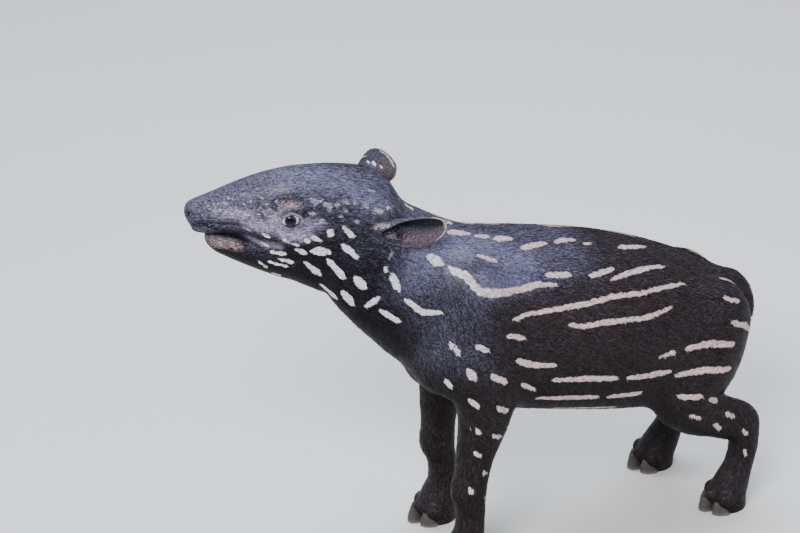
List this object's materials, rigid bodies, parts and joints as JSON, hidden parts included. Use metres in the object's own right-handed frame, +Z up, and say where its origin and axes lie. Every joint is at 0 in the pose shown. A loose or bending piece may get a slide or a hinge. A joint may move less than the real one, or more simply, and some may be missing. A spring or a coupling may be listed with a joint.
{
  "type": "malayan tapir calf",
  "caption": "Life-size museum model of a spotted and striped young Malayan tapir, standing with its head raised and its hindquarters lowered.",
  "frame": {"origin": "on the floor under the middle of the calf's length and width", "axes": "-X towards the head, -Y to the calf's left, +Z up"},
  "size_m": [0.7445, 0.2124, 0.5507],
  "materials": {
    "coat": "short dense hair, dark grey with pale spots",
    "coat_brown": "short dense hair, dark brown with pale stripes",
    "ear_skin": "thin skin with short hair",
    "eye": "wet and glossy",
    "hoof_horn": "dull dark horn"
  },
  "bodies": {
    "root": {"head": "coat", "neck": "coat", "torso": "coat_brown", "tail": "coat_brown", "foreleg_left": "coat_brown", "foreleg_right": "coat_brown", "hindleg_left": "coat_brown", "hindleg_right": "coat_brown", "ear_left": "ear_skin", "ear_right": "ear_skin", "eye_left": "eye", "eye_right": "eye", "hoof_foreleg_left_1": "hoof_horn", "hoof_foreleg_left_2": "hoof_horn", "hoof_foreleg_left_3": "hoof_horn", "hoof_foreleg_left_4": "hoof_horn", "hoof_foreleg_right_1": "hoof_horn", "hoof_foreleg_right_2": "hoof_horn", "hoof_foreleg_right_3": "hoof_horn", "hoof_foreleg_right_4": "hoof_horn", "hoof_hindleg_left_1": "hoof_horn", "hoof_hindleg_left_2": "hoof_horn", "hoof_hindleg_left_3": "hoof_horn", "hoof_hindleg_right_1": "hoof_horn", "hoof_hindleg_right_2": "hoof_horn", "hoof_hindleg_right_3": "hoof_horn"}
  },
  "joints": []
}
